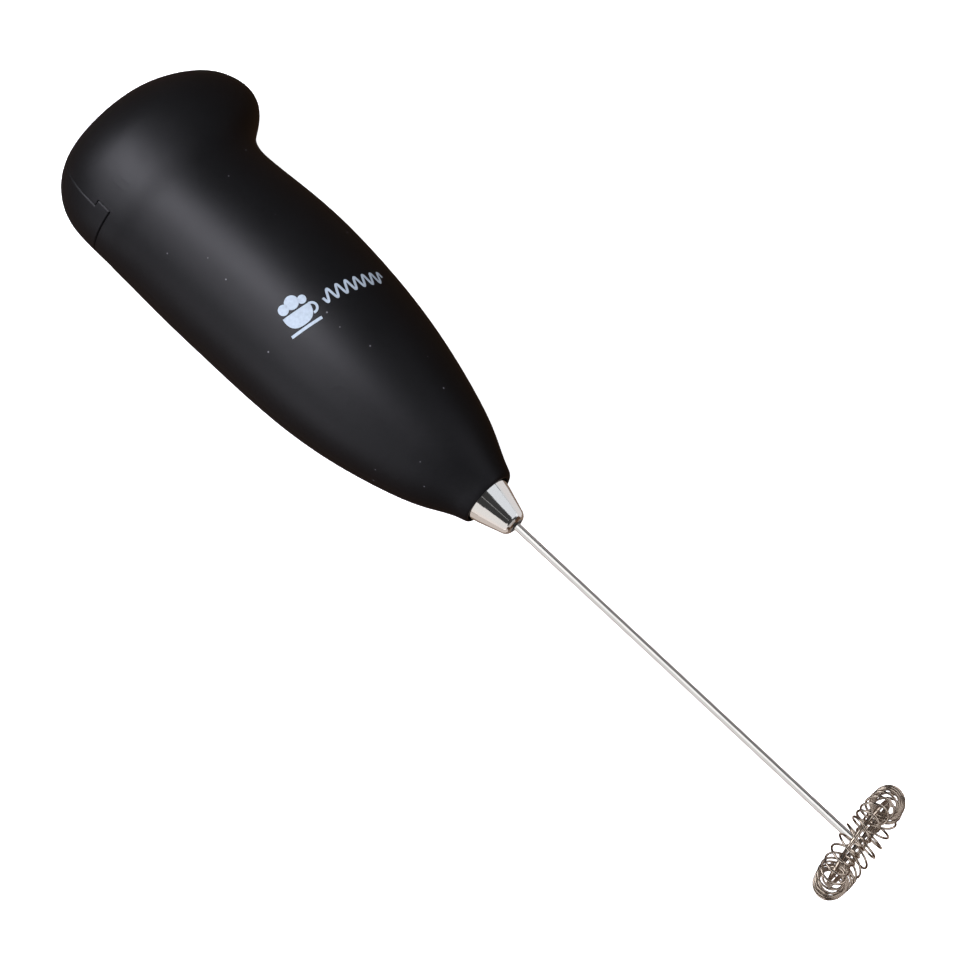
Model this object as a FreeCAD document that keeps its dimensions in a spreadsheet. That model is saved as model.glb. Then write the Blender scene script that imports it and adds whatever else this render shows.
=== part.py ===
"""Hand-held milk frother: a hooked two-shell body with a switch, two cells and a
motor inside, and a coil whisk on a thin rod.

Every piece is drawn in one design frame, in millimetres: +X runs along the rod
from the butt to the whisk, +Y points to the hook and +Z to the printed flank.
At the end the whole frother is rolled on its side, as it lies on a table, and
its origin is put at the bottom centre of its box.
"""
import FreeCAD, Part
import Sketcher
import math
import os

from FreeCAD import Placement, Rotation, Vector

X_AXIS = Vector(1, 0, 0)
Y_AXIS = Vector(0, 1, 0)
Z_AXIS = Vector(0, 0, 1)

# ---------------------------------------------------------------- driving sizes

SIZES = {
    # hand body
    "wall": 1.9,
    "cavity_end": 103.4,
    "nose_bore_r": 5.45,
    "seam_gap": 0.2,
    # how it lies
    "lie_roll": 22.0,
    # switch button
    "button_end": 18.6,
    "button_half_width": 7.65,
    "button_reach": 7.5,
    "tongue_length": 14.0,
    "ear_start": 15.4,
    "ear_half_width": 8.8,
    "ear_clearance": 0.5,
    "button_travel_gap": 1.4,
    "pivot_along": 16.9,
    "pivot_depth": 12.4,
    "button_round": 0.45,
    "dust_flange_at": 4.9,
    "dust_flange_reach": 4.9,
    "dust_flange_half_width": 4.4,
    "stem_at": 8.5,
    "stem_reach": 12.3,
    "stem_r": 1.3,
    "strip_tip": 7.2,
    "strip_thickness": 0.3,
    "leaf_depth": 12.1,
    "contact_depth": 10.9,
    "pin_r": 0.75,
    "pin_half_length": 7.2,
    "pivot_bore_r": 0.81,
    "lug_r": 1.7,
    "shell_lug_inner": 3.9,
    "shell_lug_outer": 5.3,
    "button_lug_inner": 5.6,
    "button_lug_outer": 6.9,
    "lug_foot": 8.9,
    # battery cover
    "cover_start": 19.5,
    "cover_end": 70.6,
    "cover_half_width": 15.6,
    "cover_centre": 0.85,
    "cover_gap": 0.3,
    "groove_depth": 0.45,
    # cells and contacts
    "cell_r": 7.1,
    "cell_length": 49.3,
    "nub_r": 2.7,
    "nub_length": 1.2,
    "cell_1_across": -6.5,
    "cell_2_across": 8.2,
    "tray_wall": 1.2,
    "rear_wall_at": 12.2,
    "front_wall_at": 70.4,
    "contact_thickness": 0.4,
    "contact_spring_r": 3.6,
    "contact_spring_wire_r": 0.35,
    "wire_r": 0.6,
    # motor
    "motor_start": 74.2,
    "cap_length": 2.6,
    "can_end": 96.6,
    "can_r": 9.1,
    "can_half_flat": 7.4,
    "can_wall": 0.8,
    "motor_boss_r": 3.0,
    "motor_boss_length": 1.4,
    "shaft_r": 1.0,
    "shaft_start": 74.9,
    "shaft_end": 102.4,
    "rotor_r": 5.9,
    "rotor_start": 81.0,
    "rotor_end": 91.0,
    "commutator_r": 2.3,
    "commutator_start": 77.2,
    "commutator_end": 80.2,
    # drive line
    "coupling_r": 2.5,
    "coupling_start": 99.4,
    "coupling_end": 107.6,
    "rod_r": 0.8,
    "rod_start": 102.6,
    "ring_centre": 209.8,
    # ferrule
    "ferrule_start": 104.4,
    "flange_r": 6.3,
    "flange_width": 1.2,
    "ferrule_r": 5.2,
    "taper_start": 109.4,
    "ferrule_tip": 118.0,
    "tip_r": 3.03,
    "tip_round": 1.4,
    "tip_hole_r": 1.6,
    "bush_start": 113.6,
    "bush_end": 117.3,
    "bush_bore_r": 0.86,
    # whisk
    "ring_r": 9.9,
    "ring_wire_r": 0.45,
    "coil_r": 2.95,
    "coil_wire_r": 0.25,
    "ring_tilt": 8.0,
    "ring_offset": 0.35,
    # screws
    "screw_r": 1.1,
    "screw_head_r": 2.1,
    "screw_head_depth": 1.6,
    "screw_length": 12.0,
    "screw_seat_depth": 5.0,
    "boss_r": 2.4,
}

POINTS_PER_LOOP = 10

# The ferrule's rounded tip: degrees at which its round takes over, and its steps.
TIP_ROUND_FROM = 20.0
TIP_ROUND_STEPS = 8

# The coil's loops: their number, where the wire starts, where and how much they
# are bunched, how far and how widely they part where they pass the crossbar, and
# the number of stretches that the wire is swept in.
COIL_LOOPS = 38
COIL_START = math.radians(-0.63)
BUNCHED_AT = math.radians(24.0)
BUNCHING = 0.19
PARTING = 0.81
PARTING_WIDTH = math.radians(7.0)
COIL_STRETCHES = 3

# Body stations: place along the rod, reach to the back, to the hook and to a flank.
STATIONS = (
    (0.04, -0.6, 4.0, 1.2),
    (0.3, 2.35, 7.5, 3.6),
    (1.0, 5.9, 11.8, 6.3),
    (3.0, 10.7, 17.6, 11.3),
    (6.0, 14.0, 22.8, 14.5),
    (10.0, 16.2, 26.8, 16.7),
    (13.0, 16.9, 28.2, 17.3),
    (16.2, 17.15, 28.65, 17.5),
    (19.3, 17.2, 27.7, 17.6),
    (21.8, 17.15, 25.4, 17.75),
    (24.2, 17.15, 22.1, 17.9),
    (27.0, 17.15, 20.35, 18.1),
    (31.0, 17.25, 19.95, 18.4),
    (38.0, 17.45, 20.45, 18.8),
    (48.0, 17.5, 20.95, 19.1),
    (60.0, 17.45, 20.4, 18.8),
    (72.0, 16.85, 18.95, 17.8),
    (82.0, 15.4, 16.95, 16.1),
    (92.0, 13.0, 14.2, 13.55),
    (102.0, 9.45, 10.5, 9.93),
    (108.8, 6.35, 7.2, 6.7),
    (109.8, 6.05, 6.65, 6.25),
    (110.2, 5.8, 6.05, 5.88),
)

# Screw places: along the rod, towards the hook.
SCREWS = ((15.5, 20.5), (78.4, -11.8), (78.4, 12.9))


class Dim:
    """A sheet value with its expression text, so that sums of sizes stay bound."""

    def __init__(self, text, value):
        self.text = text
        self.value = value

    def _join(self, other, sign, value):
        text = other.text if isinstance(other, Dim) else str(other)
        return Dim("(%s %s %s)" % (self.text, sign, text), value)

    def __add__(self, other):
        return self._join(other, "+", self.value + number(other))

    def __sub__(self, other):
        return self._join(other, "-", self.value - number(other))

    def __neg__(self):
        return Dim("(-1 * %s)" % self.text, -self.value)


def number(value):
    return value.value if isinstance(value, Dim) else float(value)


def expression(value):
    return value.text if isinstance(value, Dim) else str(value)


doc = FreeCAD.newDocument("milk_frother")
sheet = doc.addObject("Spreadsheet::Sheet", "Sizes")
for row, (alias, value) in enumerate(SIZES.items(), start=1):
    sheet.set("A%d" % row, alias)
    sheet.set("B%d" % row, str(value))
    sheet.setAlias("B%d" % row, alias)
doc.recompute()


def size(alias):
    return Dim("Sizes." + alias, float(sheet.get(alias)))


def mm(alias):
    return float(sheet.get(alias))


PARTS = []


def keep(label, obj):
    """Names a finished sub-part and lists it for the export."""
    obj.Label = label
    PARTS.append(obj)
    return obj


# ---------------------------------------------------------------- sketch helpers


def new_body(name):
    return doc.addObject("PartDesign::Body", name + "_body")


def new_sketch(body, plane, name, lift=0.0):
    """A sketch on one of the body's own origin planes, lifted along its normal."""
    sketch = body.newObject("Sketcher::SketchObject", name)
    support = [f for f in body.Origin.OriginFeatures if f.Role == plane][0]
    sketch.AttachmentSupport = [(support, "")]
    sketch.MapMode = "FlatFace"
    sketch.AttachmentOffset = Placement(Vector(0, 0, number(lift)), Rotation())
    if isinstance(lift, Dim):
        sketch.setExpression("AttachmentOffset.Base.z", expression(lift))
    return sketch


def draw_outline(sketch, corners):
    """A closed outline of straight edges, each corner placed from the origin."""
    first = sketch.GeometryCount
    count = len(corners)
    points = [Vector(number(x), number(y), 0) for x, y in corners]
    for i in range(count):
        sketch.addGeometry(Part.LineSegment(points[i], points[(i + 1) % count]), False)
    for i in range(count):
        edge = first + i
        following = first + (i + 1) % count
        sketch.addConstraint(Sketcher.Constraint("Coincident", edge, 2, following, 1))
    for i, (x, y) in enumerate(corners):
        edge = first + i
        for kind, coordinate in (("DistanceX", x), ("DistanceY", y)):
            index = sketch.addConstraint(
                Sketcher.Constraint(kind, -1, 1, edge, 1, number(coordinate)))
            if isinstance(coordinate, Dim):
                sketch.setExpression("Constraints[%d]" % index, expression(coordinate))


def draw_circle(sketch, x, y, radius):
    """A circle with its centre placed from the origin."""
    centre = Vector(number(x), number(y), 0)
    edge = sketch.addGeometry(Part.Circle(centre, Vector(0, 0, 1), number(radius)), False)
    for kind, coordinate in (("DistanceX", x), ("DistanceY", y)):
        index = sketch.addConstraint(
            Sketcher.Constraint(kind, -1, 1, edge, 3, number(coordinate)))
        if isinstance(coordinate, Dim):
            sketch.setExpression("Constraints[%d]" % index, expression(coordinate))
    index = sketch.addConstraint(Sketcher.Constraint("Radius", edge, number(radius)))
    if isinstance(radius, Dim):
        sketch.setExpression("Constraints[%d]" % index, expression(radius))


def add_pad(body, sketch, length, name):
    pad = body.newObject("PartDesign::Pad", name)
    pad.Profile = sketch
    pad.Length = number(length)
    if isinstance(length, Dim):
        pad.setExpression("Length", expression(length))
    return pad


def add_pocket(body, sketch, length, name):
    """A pocket that cuts along the sketch's normal."""
    pocket = body.newObject("PartDesign::Pocket", name)
    pocket.Profile = sketch
    pocket.Reversed = True
    pocket.Length = number(length)
    if isinstance(length, Dim):
        pocket.setExpression("Length", expression(length))
    return pocket


def turned(label, corners):
    """A piece turned about the rod axis from a half outline (along, radius)."""
    body = new_body(label)
    sketch = new_sketch(body, "XY_Plane", label + "_outline")
    draw_outline(sketch, corners)
    turn = body.newObject("PartDesign::Revolution", label + "_turn")
    turn.Profile = sketch
    turn.ReferenceAxis = (sketch, ["H_Axis"])
    turn.Angle = 360.0
    return keep(label, body)


def box(x0, x1, y0, y1, z0, z1):
    corner = Vector(number(x0), number(y0), number(z0))
    return Part.makeBox(number(x1) - corner.x, number(y1) - corner.y,
                        number(z1) - corner.z, corner)


def rod_along(axis, start, radius, length):
    return Part.makeCylinder(number(radius), number(length), start, axis)


def free_form(label, shape):
    """A piece whose shape comes from the body's free-form surfaces."""
    feature = doc.addObject("Part::Feature", label)
    feature.Shape = shape
    return keep(label, feature)


# ---------------------------------------------------------------- hand body forms


def inward(stations, wall):
    """The same stations moved in by the wall, square to the flank's outline."""
    moved = []
    for i, (along, back, hook, flank) in enumerate(stations):
        before = stations[max(i - 1, 0)]
        after = stations[min(i + 1, len(stations) - 1)]
        run = after[0] - before[0]
        rise = after[3] - before[3]
        slope = math.hypot(run, rise)
        ahead = wall * max(rise, 0.0) / slope
        in_by = wall * (run / slope if rise > 0 else 1.0)
        moved.append((along + ahead, back - in_by, hook - in_by, flank - in_by))
    return moved


def body_form(name, stations):
    """A loft of ellipses through the stations, as a feature of the document."""
    rings = []
    for index, (along, back, hook, flank) in enumerate(stations):
        ring = doc.addObject("Part::Ellipse", "%s_ring_%d" % (name, index))
        half = (back + hook) / 2
        ring.MajorRadius = max(half, flank + 0.01)
        ring.MinorRadius = flank
        turn = Rotation(Y_AXIS, Z_AXIS, X_AXIS, "XYZ")
        ring.Placement = Placement(Vector(along, (hook - back) / 2, 0), turn)
        rings.append(ring)
    loft = doc.addObject("Part::Loft", name)
    loft.Sections = rings
    loft.Solid = True
    loft.Ruled = False
    loft.MaxDegree = 5
    return loft


outer_form = body_form("outer_form", STATIONS)
inner_stations = [s for s in inward(STATIONS, mm("wall")) if s[0] < mm("cavity_end")]
inner_form = body_form("inner_form", inner_stations)
doc.recompute()
OUTER = outer_form.Shape
INNER = inner_form.Shape
FAR = 30.0


def tongue_prism(gap):
    """A wide prism along Y over the button's outline, which is half an oval."""
    oval = Part.Ellipse(Vector(), mm("tongue_length") + gap, mm("button_half_width") + gap)
    face = Part.Face(Part.Wire(oval.toShape()))
    face.rotate(Vector(), X_AXIS, 90)
    face.translate(Vector(mm("ear_start"), -FAR, 0))
    return face.extrude(Y_AXIS * FAR)


def button_region(gap):
    """Space of the switch button: a tongue over the butt corner, with ears at its hinge end."""
    end = mm("button_end") + gap
    ear = mm("ear_half_width") + gap
    reach = mm("button_reach") - (mm("button_travel_gap") if gap > 0 else 0.0)
    cap = box(-1, mm("ear_start"), -FAR, -reach, -FAR, FAR).common(tongue_prism(gap))
    floor = -mm("pivot_depth") + (mm("ear_clearance") if gap > 0 else 0.0)
    ears = box(mm("ear_start") - gap, end, -FAR, floor, -ear, ear)
    return cap.fuse(ears)


def cover_region(gap):
    """Space of the battery cover, on the flank away from the print."""
    half = mm("cover_half_width") + gap
    middle = mm("cover_centre")
    return box(mm("cover_start") - gap, mm("cover_end") + gap,
               middle - half, middle + half, -FAR, -mm("cell_r") / 2)


def screw_boss(side, along, across):
    """A boss from the parting plane to the shell wall, kept inside the body."""
    length = 20.0
    foot = Vector(along, across, 0.05 * side)
    boss = rod_along(Z_AXIS * side, foot, mm("boss_r"), length)
    return boss.common(OUTER)


def pin_lug(side):
    """The shell's own lug for one end of the button pin, on a bar to the side wall."""
    z0, z1 = sorted((mm("shell_lug_inner") * side, mm("shell_lug_outer") * side))
    along = mm("pivot_along")
    radius = mm("lug_r")
    foot = -mm("lug_foot")
    eye = rod_along(Z_AXIS, Vector(along, -mm("pivot_depth"), z0), radius, z1 - z0)
    post = box(along - radius, along + radius, -mm("pivot_depth"), foot, z0, z1)
    z2, z3 = sorted((z0 if side > 0 else z1, 14.0 * side))
    bar = box(along - radius, along + radius, foot - 1.4, foot, z2, z3)
    return eye.fuse(post).fuse(bar).common(OUTER)


def half_shell(side):
    """One half of the body, hollow, with its bosses, lug and openings."""
    slab = box(-5, 150, -50, 50, 0, 50) if side > 0 else box(-5, 150, -50, 50, -50, 0)
    shell = OUTER.cut(INNER)
    for along, across in SCREWS:
        shell = shell.fuse(screw_boss(side, along, across))
    nose_bore = rod_along(X_AXIS, Vector(95, 0, 0), mm("nose_bore_r"), 30)
    groove_start = mm("ferrule_start") - 0.1
    groove = rod_along(X_AXIS, Vector(groove_start, 0, 0), mm("flange_r") + 0.1,
                       mm("flange_width") + 0.2)
    shell = shell.common(slab).cut(nose_bore).cut(groove).cut(button_region(mm("seam_gap")))
    shell = shell.fuse(pin_lug(side))
    pin_start = Vector(mm("pivot_along"), -mm("pivot_depth"), -mm("pin_half_length"))
    shell = shell.cut(rod_along(Z_AXIS, pin_start, mm("pin_r"), 2 * mm("pin_half_length")))
    for along, across in SCREWS:
        if side > 0:
            hole = rod_along(Z_AXIS, Vector(along, across, -1), mm("screw_r"), 8.5)
        else:
            hole = rod_along(-Z_AXIS, Vector(along, across, 1), mm("screw_r") + 0.1, 20)
            seat = Vector(along, across, -mm("screw_seat_depth"))
            sink = rod_along(-Z_AXIS, seat, mm("screw_head_r") + 0.2, 20)
            hole = hole.fuse(sink)
        shell = shell.cut(hole)
    if side < 0:
        shell = shell.cut(cover_region(mm("cover_gap")))
    return shell


def make_shells():
    free_form("front_shell", half_shell(1))
    free_form("back_shell", half_shell(-1))


def make_battery_cover():
    """A snap-in panel of the body wall, with a stiffening rib and grip grooves."""
    region = cover_region(0.0)
    panel = OUTER.cut(INNER).common(region)
    middle = mm("cover_centre")
    rib = box(mm("cover_start") + 5, mm("cover_end") - 5, middle - 0.7, middle + 0.7, -16.8, -8.0)
    under_skin = [s for s in inward(STATIONS, mm("groove_depth"))
                  if mm("cover_start") - 8 < s[0] < mm("cover_start") + 20]
    core = body_form("groove_floor", under_skin)
    doc.recompute()
    for index in range(4):
        start = mm("cover_start") + 3.0 + 2.2 * index
        slot = box(start, start + 1.0, middle - 6, middle + 6, -30, -8)
        panel = panel.cut(slot.cut(core.Shape))
    free_form("battery_cover", panel.fuse(rib))


def cap_rim_edges(cap):
    """The outer edges of the button cap along its two sides and its hinge end."""
    rim = []
    for edge in cap.Edges:
        middle = edge.valueAt((edge.FirstParameter + edge.LastParameter) / 2)
        back = (mm("ear_start") - middle.x) / mm("tongue_length")
        on_side = abs(back ** 2 + (middle.z / mm("button_half_width")) ** 2 - 1) < 0.005
        on_ear = abs(abs(middle.z) - mm("ear_half_width")) < 0.01
        on_end = abs(middle.x - mm("button_end")) < 0.01
        distance = Part.Vertex(middle).distToShape(OUTER.Shells[0])[0]
        if distance < 0.01 and (on_side or on_ear or on_end):
            rim.append(edge)
    return rim


def make_switch_button():
    """The cap over the butt corner, with its lugs, its dust flange and its stem."""
    cap = OUTER.cut(INNER).common(button_region(0.0))
    cap = cap.makeFillet(mm("button_round"), cap_rim_edges(cap))
    along = mm("pivot_along")
    depth = mm("pivot_depth")
    radius = mm("lug_r")
    half_bore = mm("pin_half_length") + 0.15
    bore = rod_along(Z_AXIS, Vector(along, -depth, -half_bore), mm("pivot_bore_r"), 2 * half_bore)
    eye_space = rod_along(Z_AXIS, Vector(along, -depth, -mm("button_lug_inner") + 0.05),
                          radius + 0.3, 2 * mm("button_lug_inner") - 0.1)
    cap = cap.cut(eye_space)
    for side in (1, -1):
        z0, z1 = sorted((mm("button_lug_inner") * side, mm("button_lug_outer") * side))
        lug = rod_along(Z_AXIS, Vector(along, -depth, z0), radius, z1 - z0)
        web = box(along - radius, along + radius - 0.1, -15, -depth, z0, z1)
        cap = cap.fuse(lug).fuse(web.common(OUTER))
    flange_at = mm("dust_flange_at")
    half = mm("dust_flange_half_width")
    flange = box(flange_at, flange_at + 1.0, -14.0, -mm("dust_flange_reach"), -half, half)
    flange = flange.common(OUTER)
    stem_top = -mm("stem_reach") - 2.7
    stem = rod_along(Y_AXIS, Vector(mm("stem_at"), stem_top, 0), mm("stem_r"), 2.7)
    free_form("switch_button", cap.fuse(flange).fuse(stem).cut(bore))


def make_button_pin():
    pin = doc.addObject("Part::Cylinder", "button_pin_cylinder")
    pin.setExpression("Radius", "Sizes.pin_r")
    pin.setExpression("Height", "2 * Sizes.pin_half_length")
    start = Vector(mm("pivot_along"), -mm("pivot_depth"), -mm("pin_half_length"))
    pin.Placement = Placement(start, Rotation())
    keep("button_pin", pin)


def make_case_screws():
    """Three pan-head screws in the deep holes of the back shell."""
    screws = []
    for along, across in SCREWS:
        seat = Vector(along, across, -mm("screw_seat_depth"))
        shank = rod_along(Z_AXIS, seat, mm("screw_r"), mm("screw_length"))
        head = rod_along(-Z_AXIS, seat, mm("screw_head_r"), mm("screw_head_depth"))
        low = seat.z - mm("screw_head_depth") - 0.5
        high = seat.z - mm("screw_head_depth") + 0.7
        slot = box(along - 1.2, along + 1.2, across - 0.25, across + 0.25, low, high)
        cross = box(along - 0.25, along + 0.25, across - 1.2, across + 1.2, low, high)
        screws.append(shank.fuse(head).cut(slot).cut(cross).removeSplitter())
    free_form("case_screws", Part.makeCompound(screws))


# ---------------------------------------------------------------- cells and switch

REAR_SEAT = size("rear_wall_at") + size("tray_wall")


def cell_places():
    """Along-start, direction and sideways place of each cell's case."""
    rear = REAR_SEAT.value + mm("contact_thickness")
    front = mm("front_wall_at") - mm("contact_thickness")
    one_start = front - mm("nub_length") - mm("cell_length")
    two_start = rear + mm("nub_length")
    return ((one_start, 1, mm("cell_1_across")), (two_start, -1, mm("cell_2_across")))


def make_cell(label, start, facing, across):
    """An AA cell: case, rounded crimp and positive nub, turned about its own axis."""
    length = size("cell_length")
    radius = size("cell_r")
    crimp = 0.6
    corners = [(0, 0), (0, radius - crimp), (crimp, radius), (length - crimp, radius),
               (length, radius - crimp), (length, size("nub_r")),
               (length + size("nub_length"), size("nub_r")),
               (length + size("nub_length"), 0)]
    body = turned(label, corners)
    flip = Rotation() if facing > 0 else Rotation(Z_AXIS, 180)
    origin = start if facing > 0 else start + mm("cell_length")
    body.Placement = Placement(Vector(origin, across, 0), flip)


def wound_wire(points, wire_r, stretches=1):
    """A round wire whose centre line runs smoothly through the points."""
    curve = Part.BSplineCurve()
    curve.interpolate(points)
    first = curve.FirstParameter
    step = (curve.LastParameter - first) / stretches
    edges = [curve.toShape(first + step * i, first + step * (i + 1)) for i in range(stretches)]
    ring = Part.Wire(Part.makeCircle(wire_r, points[0], curve.tangent(first)[0]))
    return Part.Wire(edges).makePipeShell([ring], True, True)


def helix_spring(radius, wire_r, length, turns):
    """A coil spring along +X from x = 0, with its wire ends inside the length."""
    margin = 1.6 * wire_r
    count = turns * POINTS_PER_LOOP
    points = []
    for i in range(count + 1):
        turn = 2 * math.pi * i / POINTS_PER_LOOP
        along = margin + (length - 2 * margin) * i / count
        points.append(Vector(along, radius * math.cos(turn), radius * math.sin(turn)))
    return wound_wire(points, wire_r)


def make_battery_springs():
    """The two contact springs, one at each cell's flat end."""
    wire_r = mm("contact_spring_wire_r")
    mean_r = mm("contact_spring_r")
    margin = 0.05
    (one_start, _, one_across), (two_start, _, two_across) = cell_places()
    rear = REAR_SEAT.value + mm("contact_thickness") + margin
    first = helix_spring(mean_r, wire_r, one_start - rear - margin, 3)
    first.translate(Vector(rear, one_across, 0))
    free_form("bridge_spring", first)
    behind = two_start + mm("cell_length") + margin
    front = mm("front_wall_at") - mm("contact_thickness") - margin
    second = helix_spring(mean_r, wire_r, front - behind, 3)
    second.translate(Vector(behind, two_across, 0))
    free_form("negative_spring", second)


def make_battery_tray():
    """A cradle on the print side of the cells, with a wall at each end."""
    clear = 0.25
    space = body_space(clear)
    rear = mm("rear_wall_at")
    front = mm("front_wall_at")
    wall = mm("tray_wall")
    cradle = box(rear, front + wall, -20, 25, 3.2, 9.0)
    rear_wall = box(rear, rear + wall, -9.0, 15.6, -6.4, 9.0)
    front_wall = box(front, front + wall, -20, 25, -8.0, 9.0)
    tray = cradle.fuse(rear_wall).fuse(front_wall).common(space)
    for _, _, across in cell_places():
        bed = rod_along(X_AXIS, Vector(rear + wall, across, 0), mm("cell_r") + 0.15,
                        front - rear - wall)
        tray = tray.cut(bed)
    corner = box(rear - 1, mm("pivot_along") + 4.5, -20, -8.8, -20, 20)
    tray = tray.cut(corner)
    plate_slot = box(rear + wall, rear + wall + mm("contact_thickness") + 0.05, -9, 13.4, -5, 5)
    tray = tray.cut(plate_slot)
    hook_boss = rod_along(Z_AXIS, Vector(SCREWS[0][0], SCREWS[0][1], -20),
                          mm("boss_r") + 0.3, 40)
    free_form("battery_tray", tray.cut(hook_boss))


def body_space(clear):
    """The cavity of the body, less a clearance all round."""
    smaller = [(a, b - clear, h - clear, f - clear) for a, b, h, f in inner_stations]
    loft = body_form("space_%d" % round(clear * 100), smaller)
    doc.recompute()
    return loft.Shape


def flat_plate(label, plane_at, corners, thickness):
    """A sheet-metal plate across the rod, from its outline (towards hook, flank)."""
    body = new_body(label)
    sketch = new_sketch(body, "YZ_Plane", label + "_outline", plane_at)
    draw_outline(sketch, corners)
    add_pad(body, sketch, thickness, label + "_pad")
    return keep(label, body)


def rectangle(y0, y1, z0, z1):
    return [(y0, z0), (y1, z0), (y1, z1), (y0, z1)]


def make_contact_plates():
    half = 4.6
    one = size("cell_1_across")
    two = size("cell_2_across")
    thickness = size("contact_thickness")
    flat_plate("bridge_contact", REAR_SEAT, rectangle(one - 2.2, two + half, -half, half),
               thickness)
    front = size("front_wall_at") - thickness
    flat_plate("positive_contact", front, rectangle(one - half, one + half, -half, half),
               thickness)
    flat_plate("negative_contact", front, rectangle(two - half, two + half, -half, half),
               thickness)


def bent_strip(label, top, foot, z0, z1):
    """An L-shaped strip fixed on the tray's rear wall, its blade under the button."""
    thick = mm("strip_thickness")
    wall_face = mm("rear_wall_at") - 0.02
    tip = mm("strip_tip")
    body = new_body(label)
    sketch = new_sketch(body, "XY_Plane", label + "_outline", z0)
    corners = [(tip, top), (wall_face, top), (wall_face, foot), (wall_face - thick, foot),
               (wall_face - thick, top + thick), (tip, top + thick)]
    draw_outline(sketch, corners)
    add_pad(body, sketch, z1 - z0, label + "_pad")
    return keep(label, body)


def make_switch_strips():
    foot = -4.0
    bent_strip("switch_leaf", -mm("leaf_depth"), foot, -2.4, -0.4)
    bent_strip("switch_contact", -mm("contact_depth"), foot, 0.4, 2.4)


def wire_tube(label, points, radius, bend):
    """An insulated lead along straight runs joined by tangent arcs."""
    edges = []
    start = points[0]
    for before, corner, after in zip(points, points[1:], points[2:]):
        back = (before - corner).normalize()
        ahead = (after - corner).normalize()
        half_turn = (math.pi - back.getAngle(ahead)) / 2
        setback = bend * math.tan(half_turn)
        arc_start = corner + back * setback
        arc_end = corner + ahead * setback
        bisector = (back + ahead).normalize()
        centre = corner + bisector * (bend / math.cos(half_turn))
        arc_middle = centre - bisector * bend
        edges.append(Part.LineSegment(start, arc_start).toShape())
        edges.append(Part.Arc(arc_start, arc_middle, arc_end).toShape())
        start = arc_end
    edges.append(Part.LineSegment(start, points[-1]).toShape())
    path = Part.Wire(edges)
    ring = Part.Wire(Part.makeCircle(radius, points[0], points[1] - points[0]))
    free_form(label, path.makePipeShell([ring], True, False))


def make_wires():
    radius = mm("wire_r")
    bend = 1.6
    over = 10.6
    front = mm("front_wall_at") + mm("tray_wall") + 0.7
    rear = mm("rear_wall_at") - 1.0
    terminal = mm("motor_start") - 0.75
    wire_tube("red_wire", [Vector(front, -8.5, 0.5), Vector(front, -8.5, 6.5),
                           Vector(front, -5.0, 6.5), Vector(front, -5.0, 0.8)], radius, 1.2)
    wire_tube("black_wire", [Vector(front, 8.5, 4.0), Vector(front, 8.5, over),
                             Vector(rear, 4.0, over), Vector(rear, 1.4, 4.2)], radius, bend)
    wire_tube("white_wire", [Vector(terminal - 0.6, 4.4, 3.0), Vector(terminal - 0.6, 2.4, over),
                             Vector(rear, -2.0, over), Vector(rear, -3.4, 1.2)], radius, bend)


# ---------------------------------------------------------------- motor


def flatted(label, start, length, radius, half_flat):
    """A round block along the rod with two flats, as a pad with its sides cut."""
    body = new_body(label)
    sketch = new_sketch(body, "YZ_Plane", label + "_round", start)
    draw_circle(sketch, 0, 0, radius)
    add_pad(body, sketch, length, label + "_pad")
    for side in (1, -1):
        waste = new_sketch(body, "YZ_Plane", "%s_flat_%d" % (label, side + 1), start)
        far = half_flat + 10
        near = half_flat if side > 0 else -half_flat
        away = far if side > 0 else -far
        draw_outline(waste, rectangle(-radius - 2, radius + 2, near, away))
        add_pocket(body, waste, length, "%s_side_%d" % (label, side + 1))
    return body


def make_motor_case():
    """Steel can, open at the back, with a moulded end cap and its parts."""
    start = size("motor_start")
    split = start + size("cap_length")
    can_length = size("can_end") - split
    wall = size("can_wall")
    can = flatted("motor_can", split, can_length, size("can_r"), size("can_half_flat"))
    boss = new_sketch(can, "YZ_Plane", "motor_can_boss", size("can_end"))
    draw_circle(boss, 0, 0, size("motor_boss_r"))
    add_pad(can, boss, size("motor_boss_length"), "motor_can_boss_pad")
    hollow = new_sketch(can, "YZ_Plane", "motor_can_hollow", split)
    draw_circle(hollow, 0, 0, size("can_half_flat") - wall)
    add_pocket(can, hollow, can_length - wall, "motor_can_bore")
    bore = new_sketch(can, "YZ_Plane", "motor_can_shaft_hole", split)
    draw_circle(bore, 0, 0, size("shaft_r") + 0.05)
    add_pocket(can, bore, can_length + size("motor_boss_length"), "motor_can_shaft_bore")
    keep("motor_can", can)

    cap = flatted("motor_end_cap", start, size("cap_length"), size("can_r"),
                  size("can_half_flat"))
    hole = new_sketch(cap, "YZ_Plane", "motor_end_cap_hole", start + 0.6)
    draw_circle(hole, 0, 0, size("shaft_r") + 0.05)
    add_pocket(cap, hole, size("cap_length"), "motor_end_cap_bore")
    keep("motor_end_cap", cap)


def make_motor_terminals():
    """Two tinned tags on the end cap."""
    tags = []
    for across in (-5.0, 4.4):
        tags.append(box(mm("motor_start") - 1.4, mm("motor_start"), across - 0.2, across + 0.2,
                        -2.6, -0.2))
    free_form("motor_terminals", Part.makeCompound(tags))


def arc_block(inner, outer, x0, x1, middle_deg, half_deg):
    """A curved block round the rod axis, centred on an angle from +Y."""
    ring = rod_along(X_AXIS, Vector(x0, 0, 0), outer, x1 - x0)
    ring = ring.cut(rod_along(X_AXIS, Vector(x0 - 1, 0, 0), inner, x1 - x0 + 2))
    reach = outer * 1.6
    wedge_points = [Vector(x0 - 1, 0, 0)]
    for turn in (middle_deg - half_deg, middle_deg, middle_deg + half_deg):
        a = math.radians(turn)
        wedge_points.append(Vector(x0 - 1, reach * math.cos(a), reach * math.sin(a)))
    wedge_points.append(wedge_points[0])
    wedge = Part.Face(Part.makePolygon(wedge_points)).extrude(Vector(x1 - x0 + 2, 0, 0))
    return ring.common(wedge)


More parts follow.
